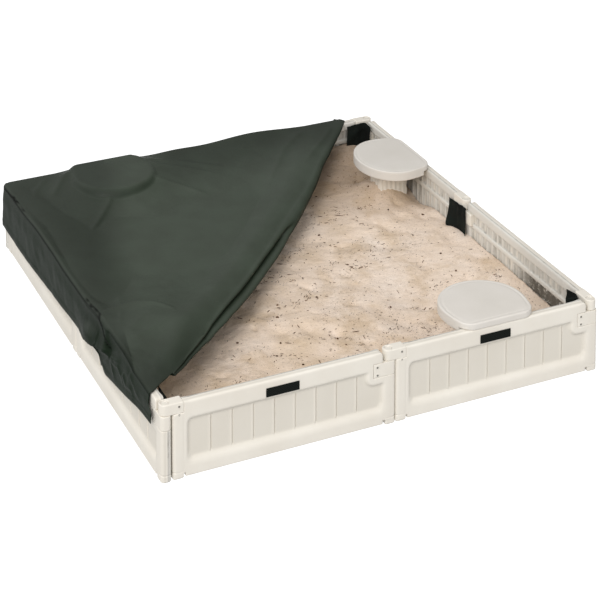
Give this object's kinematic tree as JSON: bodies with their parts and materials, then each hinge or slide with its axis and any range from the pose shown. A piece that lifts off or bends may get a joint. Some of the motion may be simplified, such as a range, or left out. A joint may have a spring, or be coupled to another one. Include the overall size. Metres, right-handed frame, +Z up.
{
  "type": "sandbox with cover",
  "caption": "Square off-white plastic sandbox filled with sand, with D-shaped clip-on seats, pinned wall panels and a dark green fabric cover folded half open along the diagonal.",
  "frame": {"origin": "centre of the square box, on the ground", "axes": "+Z up, -Y towards the front wall, +X towards the right wall as seen from the front"},
  "size_m": [1.2057, 1.2057, 0.209],
  "materials": {
    "panel_plastic": "fine moulded grain, warm off-white",
    "knuckle_plastic": "smooth moulded, warm off-white",
    "pin_plastic": "smooth moulded, off-white",
    "seat_plastic": "fine moulded grain, light stone",
    "hook_patch": "black hook-and-loop tape",
    "liner_fabric": "crumpled woven ground cloth",
    "sand": "loose dry sand",
    "cover_fabric": "coated woven polyester, dark green"
  },
  "bodies": {
    "frame": {"panel_front_left": "panel_plastic", "upper_knuckle_front_left": "knuckle_plastic", "lower_knuckle_front_left": "knuckle_plastic", "hook_patch_front_left": "hook_patch", "panel_front_right": "panel_plastic", "upper_knuckle_front_right": "knuckle_plastic", "lower_knuckle_front_right": "knuckle_plastic", "hook_patch_front_right": "hook_patch", "panel_right_front": "panel_plastic", "upper_knuckle_right_front": "knuckle_plastic", "lower_knuckle_right_front": "knuckle_plastic", "hook_patch_right_front": "hook_patch", "panel_right_back": "panel_plastic", "upper_knuckle_right_back": "knuckle_plastic", "lower_knuckle_right_back": "knuckle_plastic", "hook_patch_right_back": "hook_patch", "panel_back_right": "panel_plastic", "upper_knuckle_back_right": "knuckle_plastic", "lower_knuckle_back_right": "knuckle_plastic", "hook_patch_back_right": "hook_patch", "panel_back_left": "panel_plastic", "upper_knuckle_back_left": "knuckle_plastic", "lower_knuckle_back_left": "knuckle_plastic", "hook_patch_back_left": "hook_patch", "panel_left_back": "panel_plastic", "upper_knuckle_left_back": "knuckle_plastic", "lower_knuckle_left_back": "knuckle_plastic", "hook_patch_left_back": "hook_patch", "panel_left_front": "panel_plastic", "upper_knuckle_left_front": "knuckle_plastic", "lower_knuckle_left_front": "knuckle_plastic", "hook_patch_left_front": "hook_patch", "ground_liner": "liner_fabric", "sand_fill": "sand"},
    "cover": {"cover": "cover_fabric"},
    "seat_front_right": {"seat_front_right": "seat_plastic", "seat_leg_front_right": "panel_plastic"},
    "seat_right_back": {"seat_right_back": "seat_plastic", "seat_leg_right_back": "panel_plastic"},
    "seat_back_left": {"seat_back_left": "seat_plastic", "seat_leg_back_left": "panel_plastic"},
    "seat_left_front": {"seat_left_front": "seat_plastic", "seat_leg_left_front": "panel_plastic"},
    "pin_front_left_corner": {"hinge_pin_front_left_corner": "pin_plastic"},
    "pin_front_middle": {"hinge_pin_front_middle": "pin_plastic"},
    "pin_front_right_corner": {"hinge_pin_front_right_corner": "pin_plastic"},
    "pin_right_middle": {"hinge_pin_right_middle": "pin_plastic"},
    "pin_back_right_corner": {"hinge_pin_back_right_corner": "pin_plastic"},
    "pin_back_middle": {"hinge_pin_back_middle": "pin_plastic"},
    "pin_back_left_corner": {"hinge_pin_back_left_corner": "pin_plastic"},
    "pin_left_middle": {"hinge_pin_left_middle": "pin_plastic"}
  },
  "joints": [
    {"name": "cover_lift", "type": "slide", "parent": "frame", "child": "cover", "axis": [0, 0, 1], "range_m": [0, 0.45]},
    {"name": "seat_front_right_lift", "type": "slide", "parent": "frame", "child": "seat_front_right", "axis": [0, 0, 1], "range_m": [0, 0.22]},
    {"name": "seat_right_back_lift", "type": "slide", "parent": "frame", "child": "seat_right_back", "axis": [0, 0, 1], "range_m": [0, 0.22]},
    {"name": "seat_back_left_lift", "type": "slide", "parent": "frame", "child": "seat_back_left", "axis": [0, 0, 1], "range_m": [0, 0.225]},
    {"name": "seat_left_front_lift", "type": "slide", "parent": "frame", "child": "seat_left_front", "axis": [0, 0, 1], "range_m": [0, 0.225]},
    {"name": "pin_front_left_corner_pull", "type": "slide", "parent": "frame", "child": "pin_front_left_corner", "axis": [0, 0, 1], "range_m": [0, 0.18]},
    {"name": "pin_front_middle_pull", "type": "slide", "parent": "frame", "child": "pin_front_middle", "axis": [0, 0, 1], "range_m": [0, 0.18]},
    {"name": "pin_front_right_corner_pull", "type": "slide", "parent": "frame", "child": "pin_front_right_corner", "axis": [0, 0, 1], "range_m": [0, 0.18]},
    {"name": "pin_right_middle_pull", "type": "slide", "parent": "frame", "child": "pin_right_middle", "axis": [0, 0, 1], "range_m": [0, 0.18]},
    {"name": "pin_back_right_corner_pull", "type": "slide", "parent": "frame", "child": "pin_back_right_corner", "axis": [0, 0, 1], "range_m": [0, 0.18]},
    {"name": "pin_back_middle_pull", "type": "slide", "parent": "frame", "child": "pin_back_middle", "axis": [0, 0, 1], "range_m": [0, 0.18]},
    {"name": "pin_back_left_corner_pull", "type": "slide", "parent": "frame", "child": "pin_back_left_corner", "axis": [0, 0, 1], "range_m": [0, 0.18]},
    {"name": "pin_left_middle_pull", "type": "slide", "parent": "frame", "child": "pin_left_middle", "axis": [0, 0, 1], "range_m": [0, 0.18]}
  ],
  "couplings": [
    {"joint": "seat_back_left_lift", "follows": "cover_lift", "ratio": 0.5},
    {"joint": "seat_left_front_lift", "follows": "cover_lift", "ratio": 0.5},
    {"joint": "pin_back_middle_pull", "follows": "cover_lift", "ratio": 0.4},
    {"joint": "pin_back_left_corner_pull", "follows": "cover_lift", "ratio": 0.4},
    {"joint": "pin_left_middle_pull", "follows": "cover_lift", "ratio": 0.4}
  ]
}
